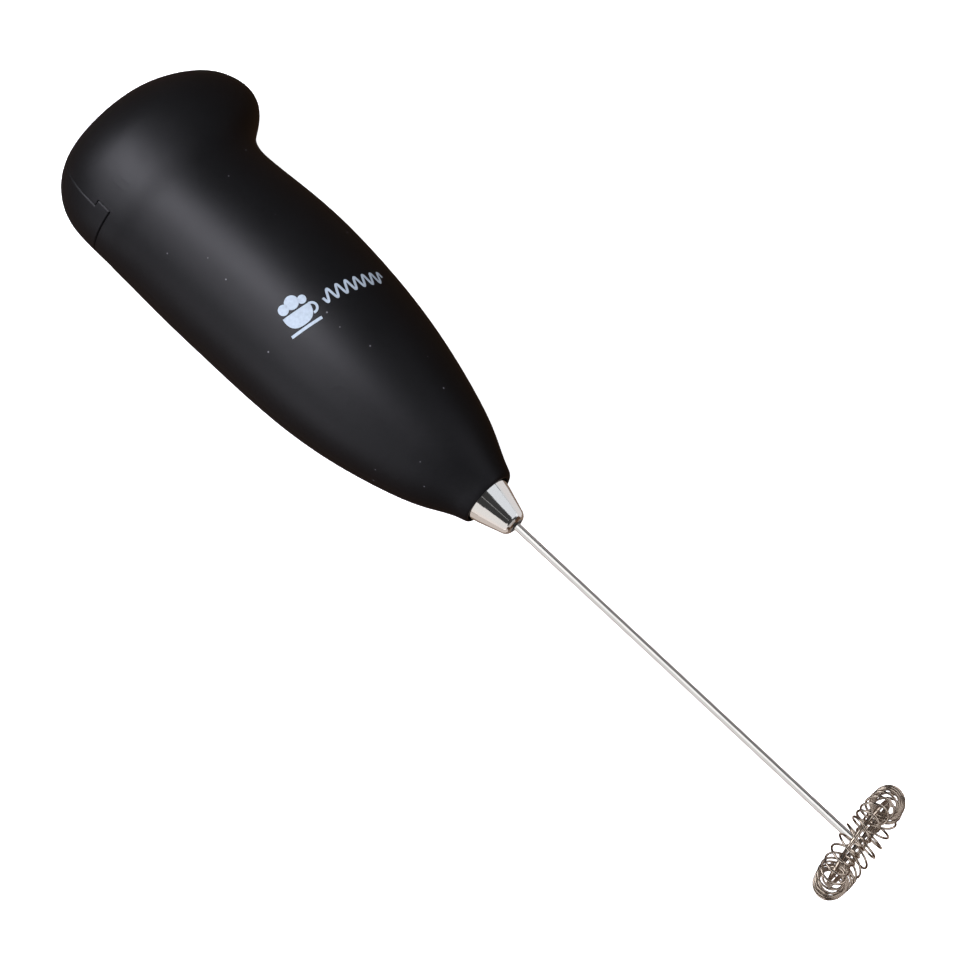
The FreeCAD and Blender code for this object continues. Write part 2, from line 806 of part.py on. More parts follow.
def make_motor_magnets():
    """Two arc magnets inside the can."""
    x0 = mm("rotor_start") - 0.5
    x1 = mm("rotor_end") + 0.5
    outer = mm("can_half_flat") - mm("can_wall")
    inner = mm("rotor_r") + 0.3
    blocks = [arc_block(inner, outer, x0, x1, middle, 62) for middle in (0, 180)]
    free_form("motor_magnets", Part.makeCompound(blocks))


def make_motor_brushes():
    """Two brush strips on the end cap, one each side of the commutator."""
    strips = []
    start = mm("motor_start") + mm("cap_length")
    near = mm("commutator_r") + 0.08
    for side in (1, -1):
        y0, y1 = sorted((near * side, (near + 0.6) * side))
        strips.append(box(start, mm("commutator_end") - 0.6, y0, y1, -1.2, 1.2))
    free_form("motor_brushes", Part.makeCompound(strips))


def make_rotor():
    """Three-pole iron core with its windings, on the shaft with the commutator."""
    x0 = mm("rotor_start")
    x1 = mm("rotor_end")
    core = rod_along(X_AXIS, Vector(x0, 0, 0), 2.2, x1 - x0)
    coils = []
    for turn in (90, 210, 330):
        arm = box(x0, x1, 1.5, mm("rotor_r") - 0.8, -0.9, 0.9)
        arm.rotate(Vector(), X_AXIS, turn)
        shoe = arc_block(mm("rotor_r") - 1.0, mm("rotor_r"), x0, x1, turn, 48)
        core = core.fuse(arm).fuse(shoe)
        coil = box(x0 - 0.6, x1 + 0.6, 2.45, mm("rotor_r") - 1.2, -2.1, 2.1)
        hole = box(x0 - 0.05, x1 + 0.05, 0, 9, -0.95, 0.95)
        coil = coil.cut(hole)
        coil.rotate(Vector(), X_AXIS, turn)
        coils.append(coil)
    shaft_hole = rod_along(X_AXIS, Vector(x0 - 1, 0, 0), mm("shaft_r"), x1 - x0 + 2)
    clear = rod_along(X_AXIS, Vector(x0 - 1, 0, 0), mm("rotor_r") - 1.05, x1 - x0 + 2)
    free_form("rotor_core", core.cut(shaft_hole).removeSplitter())
    free_form("rotor_windings", Part.makeCompound([c.common(clear) for c in coils]))


def make_motor_holder():
    """A moulded collar that fills the body round the back of the motor."""
    x0 = mm("motor_start") - 0.4
    x1 = x0 + 2.6
    collar = box(x0, x1, -30, 30, -30, 30).common(body_space(0.2))
    seat = rod_along(X_AXIS, Vector(x0 + 0.4, 0, 0), mm("can_r") + 0.05, 20)
    flats = box(x0, x1 + 1, -20, 20, -mm("can_half_flat") - 0.05, mm("can_half_flat") + 0.05)
    seat = seat.common(flats)
    window = box(x0 - 1, x0 + 1, -7.5, 7.5, -5, 5)
    collar = collar.cut(seat).cut(window)
    for place, across in SCREWS[1:]:
        post = rod_along(Z_AXIS, Vector(place, across, -20), mm("boss_r") + 0.15, 40)
        collar = collar.cut(post)
    free_form("motor_holder", collar)


def make_motor_damper():
    """A rubber ring between the front of the can and the shells."""
    x1 = mm("can_end") - 1.4
    x0 = x1 - 3.0
    ring = box(x0, x1, -30, 30, -30, 30).common(body_space(0.2))
    hole = rod_along(X_AXIS, Vector(x0 - 1, 0, 0), mm("can_r") + 0.02, 6)
    flats = box(x0 - 1, x1 + 1, -20, 20, -mm("can_half_flat") - 0.02, mm("can_half_flat") + 0.02)
    free_form("motor_damper", ring.cut(hole.common(flats)))


# ---------------------------------------------------------------- drive line


def ring_turned(label, start, end, inner, outer):
    """A plain sleeve about the rod axis."""
    return turned(label, [(start, inner), (end, inner), (end, outer), (start, outer)])


def make_drive_line():
    ring_turned("commutator", size("commutator_start"), size("commutator_end"),
                size("shaft_r"), size("commutator_r"))
    start = size("shaft_start")
    turned("motor_shaft", [(start, 0), (start, size("shaft_r")),
                           (size("shaft_end"), size("shaft_r")), (size("shaft_end"), 0)])
    middle = size("shaft_end") + 0.1
    turned("rod_coupling", [
        (size("coupling_start"), size("shaft_r")), (middle, size("shaft_r")),
        (middle, size("rod_r")), (size("coupling_end"), size("rod_r")),
        (size("coupling_end"), size("coupling_r") - 0.5),
        (size("coupling_end") - 0.5, size("coupling_r")),
        (size("coupling_start"), size("coupling_r"))])
    end = size("ring_centre") - size("ring_wire_r") + 0.1
    turned("whisk_rod", [(size("rod_start"), 0), (size("rod_start"), size("rod_r")),
                         (end, size("rod_r")), (end, 0)])


def tip_dome(tip):
    """The ferrule's rounded end, from its taper to the hole."""
    first = math.radians(TIP_ROUND_FROM)
    points = []
    for step in range(TIP_ROUND_STEPS):
        turn = first + (math.pi / 2 - first) * step / TIP_ROUND_STEPS
        back = mm("tip_round") * (1 - math.sin(turn)) / (1 - math.sin(first))
        drop = (mm("tip_r") - mm("tip_hole_r")) * (1 - math.cos(turn) / math.cos(first))
        points.append((tip - round(back, 4), size("tip_r") - round(drop, 4)))
    return points


def make_ferrule():
    """The polished cone, clamped by its flange, and the bush in its tip."""
    start = size("ferrule_start")
    tip = size("ferrule_tip")
    flange_end = start + size("flange_width")
    cavity_r = size("coupling_r") + 1.4
    taper = size("taper_start")
    turned("ferrule", [
        (start, cavity_r), (start, size("flange_r")), (flange_end, size("flange_r")),
        (flange_end, size("ferrule_r")), (taper, size("ferrule_r")),
        (taper + 2.4, size("ferrule_r") - 0.62), (taper + 4.8, size("ferrule_r") - 1.39),
        *tip_dome(tip), (tip, size("tip_hole_r")), (size("bush_start"), size("tip_hole_r")),
        (size("bush_start"), size("tip_hole_r") + 0.4), (size("coupling_end") + 1.5, cavity_r)])
    ring_turned("rod_bush", size("bush_start"), size("bush_end"), size("bush_bore_r"),
                size("tip_hole_r"))


# ---------------------------------------------------------------- whisk


def ring_frame(shape):
    """Puts a whisk piece at the rod's end, a little askew and off centre."""
    shape.rotate(Vector(), Z_AXIS, mm("ring_tilt"))
    shape.translate(Vector(mm("ring_centre"), mm("ring_offset"), 0))
    return shape


def make_whisk_ring():
    """Wire ring with a crossbar, to which the rod is welded."""
    ring = Part.makeTorus(mm("ring_r"), mm("ring_wire_r"), Vector(), X_AXIS)
    bar = rod_along(Y_AXIS, Vector(0, -mm("ring_r"), 0), mm("ring_wire_r"), 2 * mm("ring_r"))
    rod_seat = rod_along(X_AXIS, Vector(mm("ring_centre") - 5, 0, 0), mm("rod_r"),
                         5 - mm("ring_wire_r") + 0.1)
    free_form("whisk_core_ring", ring_frame(ring.fuse(bar)).cut(rod_seat))


def coil_point(loop_turn):
    """A point of the coil's wire after so many loops round the ring."""
    about_loop = 2 * math.pi * loop_turn
    even = 2 * math.pi * loop_turn / COIL_LOOPS + COIL_START
    about_ring = even - BUNCHING * math.sin(2 * (even - BUNCHED_AT))
    past_bar = (about_ring + math.pi / 2) % math.pi - math.pi / 2
    nearness = math.exp(-(past_bar / PARTING_WIDTH) ** 2)
    about_ring += PARTING * past_bar * nearness * (1 - math.cos(about_loop)) / 2
    reach = mm("ring_r") + mm("coil_r") * math.cos(about_loop)
    return Vector(mm("coil_r") * math.sin(about_loop), reach * math.cos(about_ring),
                  reach * math.sin(about_ring))


def make_whisk_coil():
    """One wire wound as a coil round the ring, its two ends almost meeting."""
    count = COIL_LOOPS * POINTS_PER_LOOP
    points = [coil_point(i / POINTS_PER_LOOP) for i in range(count)]
    free_form("whisk_coil", ring_frame(wound_wire(points, mm("coil_wire_r"), COIL_STRETCHES)))


# ---------------------------------------------------------------- whole frother


def lay_down(parts):
    """Rolls the frother on its side and puts its origin at the bottom centre."""
    roll = Placement(Vector(), Rotation(X_AXIS, -mm("lie_roll")))
    for part in parts:
        part.Placement = roll * part.Placement
    doc.recompute()
    boxes = [part.Shape.optimalBoundingBox(False, False) for part in parts]
    middle_x = (min(b.XMin for b in boxes) + max(b.XMax for b in boxes)) / 2
    middle_y = (min(b.YMin for b in boxes) + max(b.YMax for b in boxes)) / 2
    low = min(b.ZMin for b in boxes)
    shift = Placement(Vector(-middle_x, -middle_y, -low), Rotation())
    for part in parts:
        part.Placement = shift * part.Placement
    doc.recompute()
    print("axis start in the row frame, mm: %.4f %.4f %.4f" % tuple(shift.Base))


def check_all():
    for obj in doc.Objects:
        if "Invalid" in obj.State or "Error" in obj.State:
            raise RuntimeError("%s failed: %s" % (obj.Label, obj.State))
    for part in PARTS:
        if part.Shape.isNull() or not part.Shape.isValid():
            raise RuntimeError("%s has no valid shape" % part.Label)


def main():
    make_shells()
    make_battery_cover()
    make_switch_button()
    make_button_pin()
    make_case_screws()
    for number_of, place in enumerate(cell_places(), start=1):
        make_cell("battery_cell_%d" % number_of, *place)
    make_battery_tray()
    make_contact_plates()
    make_battery_springs()
    make_switch_strips()
    make_wires()
    make_motor_case()
    make_motor_terminals()
    make_motor_magnets()
    make_motor_brushes()
    make_rotor()
    make_motor_holder()
    make_motor_damper()
    make_drive_line()
    make_ferrule()
    make_whisk_ring()
    make_whisk_coil()
    doc.recompute()
    check_all()
    lay_down(PARTS)
    check_all()
    os.makedirs("parts", exist_ok=True)
    for part in PARTS:
        part.Shape.exportStep(os.path.join("parts", part.Label + ".step"))
        print("%-18s %8.1f mm3, %d solids" % (part.Label, part.Shape.Volume,
                                              len(part.Shape.Solids)))


main()
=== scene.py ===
"""Looks of the milk frother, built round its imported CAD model.

Lengths are metres in the row frame, where the frother lies on the floor with its
rod along +X. Places on the body are given in the design frame, in millimetres:
+X runs from the butt to the whisk, +Y to the hook and +Z to the printed flank.
"""
import math
import random

import bmesh
import bpy
from mathutils import Matrix, Vector
from mathutils.bvhtree import BVHTree


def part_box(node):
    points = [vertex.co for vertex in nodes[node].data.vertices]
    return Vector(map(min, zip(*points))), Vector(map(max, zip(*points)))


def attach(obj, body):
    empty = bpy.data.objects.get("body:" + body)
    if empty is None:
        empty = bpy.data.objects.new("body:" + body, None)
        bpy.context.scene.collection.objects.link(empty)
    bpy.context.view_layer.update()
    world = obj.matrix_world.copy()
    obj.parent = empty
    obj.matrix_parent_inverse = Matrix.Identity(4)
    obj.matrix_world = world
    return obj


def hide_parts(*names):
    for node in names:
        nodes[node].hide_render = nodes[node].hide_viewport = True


MM = 0.001
LIE_ROLL = math.radians(22.0)
FERRULE_TIP = 118.0

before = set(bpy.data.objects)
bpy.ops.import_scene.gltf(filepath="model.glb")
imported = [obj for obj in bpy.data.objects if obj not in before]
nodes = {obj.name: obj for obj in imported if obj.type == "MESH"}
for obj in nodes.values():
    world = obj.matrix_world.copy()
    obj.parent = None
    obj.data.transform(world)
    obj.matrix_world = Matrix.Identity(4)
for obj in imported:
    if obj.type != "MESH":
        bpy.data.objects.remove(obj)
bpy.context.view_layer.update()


# ---------------------------------------------------------------- places


def box_middle(node):
    """The middle of a node's box."""
    low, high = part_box(node)
    return (low + high) / 2


ROD_MIDDLE = box_middle("whisk_rod")
TIP = Vector((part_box("ferrule")[1].x, ROD_MIDDLE.y, ROD_MIDDLE.z))
TO_ROW = (Matrix.Translation(TIP) @ Matrix.Rotation(-LIE_ROLL, 4, "X") @ Matrix.Scale(MM, 4)
          @ Matrix.Translation((-FERRULE_TIP, 0, 0)))


def at(along, to_hook, to_print):
    """A point of the design frame, in the row frame."""
    return TO_ROW @ Vector((along, to_hook, to_print))


# ---------------------------------------------------------------- camera

CAMERA_DISTANCE = 1.6
CAMERA_LENS = 309.0
SENSOR_WIDTH = 36.0
CAMERA_FAR = 20.0
ROD_TOWARDS_CAMERA = math.radians(13.56)
ROD_BELOW_LEVEL = math.radians(42.95)
CAMERA_ROLL = math.radians(24.0)
AIM_LEFT_OF_TIP = 7.05 * MM
AIM_ABOVE_TIP = 8.91 * MM


def camera_axes():
    """The camera's right, up and back directions in the row frame."""
    tilt = ROD_TOWARDS_CAMERA
    level = Vector((math.cos(ROD_BELOW_LEVEL), -math.sin(ROD_BELOW_LEVEL), 0))
    side = Vector((math.sin(ROD_BELOW_LEVEL), math.cos(ROD_BELOW_LEVEL), 0))
    rod = level * math.cos(tilt) + Vector((0, 0, 1)) * math.sin(tilt)
    facing = rod.cross(side)
    roll = CAMERA_ROLL - LIE_ROLL
    row_y = side * math.cos(roll) - facing * math.sin(roll)
    row_z = rod.cross(row_y)
    return Matrix((rod, row_y, row_z))


def make_camera():
    """The camera of the photograph, aimed beside the ferrule's tip."""
    axes = camera_axes()
    right, up, back = axes.col[0], axes.col[1], axes.col[2]
    aim = TIP - right * AIM_LEFT_OF_TIP + up * AIM_ABOVE_TIP
    data = bpy.data.cameras.new("camera")
    data.lens = CAMERA_LENS
    data.sensor_width = SENSOR_WIDTH
    data.clip_end = CAMERA_FAR
    camera = bpy.data.objects.new("camera", data)
    camera.matrix_world = Matrix.Translation(aim + back * CAMERA_DISTANCE) @ axes.to_4x4()
    bpy.context.scene.collection.objects.link(camera)
    bpy.context.scene.camera = camera


# ---------------------------------------------------------------- light and floor

FLOOR_SIZE = 6.0
FLOOR_GLOW = 1.0
PAPER_FIBRE = 2 * MM
PAPER_DARK = 0.91
PAPER_LIGHT = 0.95
WORLD_LIGHT = 0.042
WORLD_BELOW = (0.085, 0.046, 0.026, 1)
HORIZON_FADE = 0.12
SOFTBOX_TINT = (0.955, 0.950, 1.060)
LIGHT_DISTANCE = 1.2

# Each softbox: degrees from square-on to the rod towards the whisk, degrees round the
# rod from straight above it towards the hook, width and height in metres, watts.
SOFTBOXES = {
    "key_softbox": (-25, -5, 0.60, 0.60, 9.8),
    "top_softbox": (-10, -5, 0.50, 0.50, 3.9),
    "side_softbox": (-14, -40, 0.50, 0.50, 3.9),
    "butt_softbox": (-50, -18, 0.60, 0.60, 2.2),
    "saddle_softbox": (-40, 7, 0.30, 0.24, 1.1),
    "hook_softbox": (-22, 12, 0.35, 0.35, 0.9),
    "back_card": (10, -60, 0.60, 0.60, 1.1),
    "low_back_card": (-8, -82, 0.50, 0.40, 1.75),
    "whisk_hook_card": (36, 60, 0.80, 0.80, 1.75),
    "whisk_back_card": (60, -60, 0.80, 0.80, 1.25),
    "wide_scrim": (0, 10, 1.20, 1.20, 0.8),
}

# Cards that only the bright metal mirrors: the same two angles and sizes, then how
# bright the card looks and its tint.
FERRULE_CARDS = {
    "ferrule_hook_card": (20, 50, 1.10, 1.12, 0.80, (0.91, 0.95, 1.0)),
    "ferrule_low_hook_card": (20, 107, 1.10, 1.34, 0.70, (0.97, 0.98, 1.0)),
    "ferrule_back_card": (20, -72, 1.20, 1.28, 0.80, (1.0, 0.965, 0.94)),
    "ferrule_low_back_card": (20, -121, 1.20, 0.90, 0.55, (1.0, 0.93, 0.88)),
    "ferrule_under_card": (10, 180, 1.60, 2.20, 0.16, (1.0, 0.85, 0.72)),
    "ferrule_front_card": (78, -30, 0.80, 1.20, 0.42, (1.0, 0.94, 0.90)),
    "ferrule_glint_card": (20, -9, 0.60, 0.05, 0.30, (1.0, 1.0, 1.0)),
}
ROD_CARDS = {
    "rod_key_card": (-14, 6, 0.90, 1.20, 1.22, (1.0, 1.0, 1.0)),
    "rod_butt_key_card": (-27, 42, 0.55, 0.42, 0.95, (1.0, 1.0, 1.0)),
    "rod_back_card": (-14, -62, 0.90, 2.00, 0.80, (1.0, 0.985, 0.97)),
    "rod_hook_card": (-14, 100, 0.90, 1.88, 0.27, (0.98, 0.98, 1.0)),
    "rod_low_back_card": (-14, -140, 0.90, 1.70, 0.45, (1.0, 0.96, 0.93)),
    "rod_under_card": (-14, 175, 0.90, 1.00, 0.30, (1.0, 0.96, 0.93)),
}
WHISK_CARDS = {
    "whisk_key_card": (-34, -6, 0.90, 0.80, 3.40, (1.0, 0.98, 0.95)),
    "whisk_side_card": (4, -78, 1.30, 0.90, 2.00, (1.0, 0.97, 0.93)),
    "whisk_low_hook_card": (10, 84, 1.30, 0.90, 1.60, (1.0, 0.96, 0.92)),
    "whisk_front_card": (66, 10, 0.90, 0.90, 1.20, (1.0, 0.95, 0.90)),
    "whisk_under_card": (0, 180, 1.80, 1.80, 0.55, (1.0, 0.92, 0.85)),
}


def light_frame(to_whisk, to_hook):
    """A light's axes: along the rod, round the rod and away from the frother."""
    lean, turn = math.radians(to_whisk), math.radians(to_hook)
    roll = CAMERA_ROLL - LIE_ROLL
    above = Vector((0, -math.sin(roll), math.cos(roll)))
    hookward = Vector((0, math.cos(roll), math.sin(roll)))
    outward = above * math.cos(turn) + hookward * math.sin(turn)
    rod = Vector((1, 0, 0))
    along = rod * math.cos(lean) - outward * math.sin(lean)
    around = hookward * math.cos(turn) - above * math.sin(turn)
    away = rod * math.sin(lean) + outward * math.cos(lean)
    return Matrix((along, around, away)).transposed()


def add_softbox(name, to_whisk, to_hook, width, height, watts, tint):
    """A rectangular light that faces the middle of the frother."""
    data = bpy.data.lights.new(name, "AREA")
    data.shape = "RECTANGLE"
    data.size = width
    data.size_y = height
    data.energy = watts
    data.color = tint
    light = bpy.data.objects.new(name, data)
    axes = light_frame(to_whisk, to_hook)
    light.matrix_world = Matrix.Translation(axes.col[2] * LIGHT_DISTANCE) @ axes.to_4x4()
    light.visible_camera = False
    bpy.context.scene.collection.objects.link(light)
    return light


def lit_pieces(name, pieces, state):
    """A light's list of the pieces that it lights, or leaves out."""
    listed = bpy.data.collections.new(name)
    for piece in pieces:
        listed.objects.link(piece)
    for entry in listed.collection_objects:
        entry.light_linking.link_state = state
    return listed


def make_lights(coil):
    """Cards that only the bright metal mirrors, and softboxes for all the rest."""
    whisk = [nodes["whisk_core_ring"], coil]
    bright = {"ferrule": ([nodes["ferrule"]], FERRULE_CARDS),
              "rod": ([nodes["whisk_rod"]], ROD_CARDS),
              "whisk": (whisk, WHISK_CARDS)}
    all_bright = [piece for pieces, _ in bright.values() for piece in pieces]
    others = lit_pieces("all_but_bright_metal", all_bright, "EXCLUDE")
    for name, values in SOFTBOXES.items():
        add_softbox(name, *values, SOFTBOX_TINT).light_linking.receiver_collection = others
    for title, (pieces, cards) in bright.items():
        mirrors = lit_pieces("bright_" + title, pieces, "INCLUDE")
        for name, (to_whisk, to_hook, width, height, glow, tint) in cards.items():
            watts = glow * math.pi * width * height
            card = add_softbox(name, to_whisk, to_hook, width, height, watts, tint)
            card.light_linking.receiver_collection = mirrors


def make_world():
    """Dim grey light from above and a warm dark room below."""
    world = bpy.data.worlds.new("studio")
    world.use_nodes = True
    tree = world.node_tree
    place = tree.nodes.new("ShaderNodeTexCoord").outputs["Generated"]
    split = tree.nodes.new("ShaderNodeSeparateXYZ")
    tree.links.new(place, split.inputs["Vector"])
    ramp = tree.nodes.new("ShaderNodeValToRGB")
    below, above = ramp.color_ramp.elements
    below.position = 0.0
    below.color = WORLD_BELOW
    above.position = HORIZON_FADE
    above.color = grey(WORLD_LIGHT)
    tree.links.new(split.outputs["Z"], ramp.inputs["Fac"])
    tree.links.new(ramp.outputs["Color"], tree.nodes["Background"].inputs["Color"])
    bpy.context.scene.world = world
    bpy.context.scene.view_settings.view_transform = "Standard"


def make_floor():
    """White paper that glows for the camera, and lights and darkens nothing."""
    half = FLOOR_SIZE / 2
    mesh = bpy.data.meshes.new("studio_floor")
    corners = [(-half, -half, 0), (half, -half, 0), (half, half, 0), (-half, half, 0)]
    mesh.from_pydata(corners, [], [(0, 1, 2, 3)])
    floor = bpy.data.objects.new("studio_floor", mesh)
    bpy.context.scene.collection.objects.link(floor)
    floor.visible_glossy = False
    floor.visible_diffuse = False
    floor.visible_shadow = False
    paper = Paint("floor_paper")
    fibre = paper.noise(PAPER_FIBRE, 4.0)
    tone = paper.mix(fibre, grey(PAPER_DARK), grey(PAPER_LIGHT))
    paper.set(Base_Color=tone, Roughness=0.9, Emission_Color=grey(1.0),
              Emission_Strength=FLOOR_GLOW)
    mesh.materials.append(paper.material)


# ---------------------------------------------------------------- materials


# Sockets of the Mix node for colours, which shares their names with its other kinds.
MIX_SHARE = 0
MIX_FIRST = 6
MIX_SECOND = 7
MIX_COLOUR = 2


class Paint:
    """A procedural material: one Principled shader and the nodes that feed it."""

    def __init__(self, name):
        self.material = bpy.data.materials.new(name)
        self.material.use_nodes = True
        self.tree = self.material.node_tree
        self.shader = self.tree.nodes["Principled BSDF"]
        self.place = self.tree.nodes.new("ShaderNodeTexCoord").outputs["Object"]

    def feed(self, socket, value):
        """Links an output to that input, or gives the input a plain value."""
        if isinstance(value, bpy.types.NodeSocket):
            self.tree.links.new(value, socket)
        else:
            socket.default_value = value

    def add(self, kind, inputs, **settings):
        """A node of that kind with its settings, and its inputs by name or by number."""
        node = self.tree.nodes.new(kind)
        for key, value in settings.items():
            setattr(node, key, value)
        for key, value in inputs.items():
            self.feed(node.inputs[key], value)
        return node

    def set(self, **values):
        """The shader's inputs by name, with _ for a space."""
        for key, value in values.items():
            self.feed(self.shader.inputs[key.replace("_", " ")], value)

    def noise(self, size, detail, stretch=(1, 1, 1)):
        """Noise from 0 to 1 whose lumps are about that size, in metres."""
        scaled = self.add("ShaderNodeMapping", {"Vector": self.place, "Scale": stretch})
        return self.add("ShaderNodeTexNoise", {
            "Vector": scaled.outputs["Vector"], "Scale": 1.0 / size,
            "Detail": detail}).outputs["Fac"]

    def spread(self, value, low, high, start=0.0, end=1.0):
        """value, from start to end, spread between low and high."""
        return self.add("ShaderNodeMapRange", {
            "Value": value, "From Min": start, "From Max": end, "To Min": low,
            "To Max": high}).outputs["Result"]

    def mix(self, share, first, second):
        """A colour between two, by share."""
        inputs = {MIX_SHARE: share, MIX_FIRST: first, MIX_SECOND: second}
        return self.add("ShaderNodeMix", inputs, data_type="RGBA").outputs[MIX_COLOUR]

    def math(self, operation, *values):
        """The result of that operation on linked sockets or plain numbers."""
        inputs = dict(enumerate(values))
        return self.add("ShaderNodeMath", inputs, operation=operation).outputs["Value"]

    def bump(self, height, depth, strength):
        """The normal of bumps of that depth, in metres."""
        return self.add("ShaderNodeBump", {
            "Height": height, "Distance": depth, "Strength": strength}).outputs["Normal"]


def grey(value):
    """An opaque grey."""
    return (value, value, value, 1)


FINE = 0.1 * MM
SHALLOW = 0.006 * MM
SHELL_GRAIN = 0.16 * MM
SHELL_CLOUD = 9 * MM
SHELL_DARK = (0.0042, 0.0042, 0.0046, 1)
SHELL_LIGHT = (0.0056, 0.0056, 0.0060, 1)
DULL_SHEEN = 0.25
DUST_PER_METRE = 200.0
DUST_CORE = 0.02
DUST_EDGE = 0.045
DUST_GREY = (0.16, 0.16, 0.17, 1)


def soft_touch_plastic(name, dust):
    """Matt black moulded plastic with a fine grain, and specks of dust where asked."""
    paint = Paint(name)
    grain = paint.noise(SHELL_GRAIN, 3.0)
    cloud = paint.noise(SHELL_CLOUD, 3.0)
    tone = paint.mix(cloud, SHELL_DARK, SHELL_LIGHT)
    if dust:
        inputs = {"Vector": paint.place, "Scale": DUST_PER_METRE}
        distance = paint.add("ShaderNodeTexVoronoi", inputs).outputs["Distance"]
        speck = paint.spread(distance, 1.0, 0.0, DUST_CORE, DUST_EDGE)
        tone = paint.mix(speck, tone, DUST_GREY)
    paint.set(
        Base_Color=tone,
        Roughness=paint.spread(cloud, 0.43, 0.49),
        Specular_IOR_Level=DULL_SHEEN,
        Normal=paint.bump(grain, SHALLOW, 0.6))
    return paint.material


def metal(name, colour, dark_share, rough, grain_size, stretch=(1, 1, 1), depth=0.002):
    """Bare metal, slightly uneven in tone, with grain drawn out along one direction."""
    paint = Paint(name)
    grain = paint.noise(grain_size, 4.0, stretch)
    cloud = paint.noise(3 * MM, 2.0)
    dark = tuple(channel * dark_share for channel in colour[:3]) + (1,)
    paint.set(
        Base_Color=paint.mix(cloud, dark, colour),
        Metallic=1.0,
        Roughness=paint.spread(grain, rough * 0.8, rough * 1.2),
        Normal=paint.bump(grain, depth * MM, 0.5))
    return paint.material


def moulded_plastic(name, colour, rough=0.45):
    """Plain injection-moulded plastic with faint flow marks."""
    paint = Paint(name)
    cloud = paint.noise(4 * MM, 3.0, (0.4, 1, 1))
    grain = paint.noise(0.2 * MM, 2.0)
    dark = tuple(channel * 0.86 for channel in colour[:3]) + (1,)
    paint.set(
        Base_Color=paint.mix(cloud, dark, colour),
        Roughness=paint.spread(grain, rough - 0.05, rough + 0.05),
        Normal=paint.bump(grain, SHALLOW, 0.5))
    return paint.material


# Shares of a cell's length: the copper-coloured band and each bare steel rim.
COPPER_BAND = 0.31
STEEL_RIM = 0.03
SLEEVE_DARK = (0.012, 0.012, 0.014, 1)
SLEEVE_LIGHT = (0.02, 0.02, 0.023, 1)
COPPER_DARK = (0.62, 0.30, 0.13, 1)
COPPER_LIGHT = (0.72, 0.37, 0.17, 1)
RIM_STEEL = (0.70, 0.69, 0.67, 1)
FOIL_METALLIC = 0.85


def cell_sleeve(name):
    """A cell's dark sleeve with a copper-coloured band at its plus end and steel rims."""
    paint = Paint(name)
    low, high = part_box("battery_cell_1")
    middle = (low + high) / 2
    between_cells = (middle + box_middle("battery_cell_2")) / 2
    parts = paint.add("ShaderNodeSeparateXYZ", {"Vector": paint.place}).outputs
    plus_ahead = paint.math("LESS_THAN", parts["Y"], between_cells.y)
    facing = paint.math("MULTIPLY_ADD", plus_ahead, 2.0, -1.0)
    centred = paint.math("SUBTRACT", parts["X"], middle.x)
    along = paint.math("MULTIPLY", centred, facing)
    share = paint.math("DIVIDE", along, high.x - low.x)
    band = paint.math("GREATER_THAN", share, 0.5 - COPPER_BAND)
    rim = paint.math("GREATER_THAN", paint.math("ABSOLUTE", share), 0.5 - STEEL_RIM)
    cloud = paint.noise(5 * MM, 3.0)
    dark = paint.mix(cloud, SLEEVE_DARK, SLEEVE_LIGHT)
    copper = paint.mix(cloud, COPPER_DARK, COPPER_LIGHT)
    sleeve = paint.mix(band, dark, copper)
    scuff = paint.noise(0.3 * MM, 3.0)
    paint.set(
        Base_Color=paint.mix(rim, sleeve, RIM_STEEL),
        Metallic=paint.math("MAXIMUM", rim, paint.math("MULTIPLY", band, FOIL_METALLIC)),
        Roughness=paint.spread(scuff, 0.24, 0.36),
        Normal=paint.bump(scuff, 0.004 * MM, 0.4))
    return paint.material


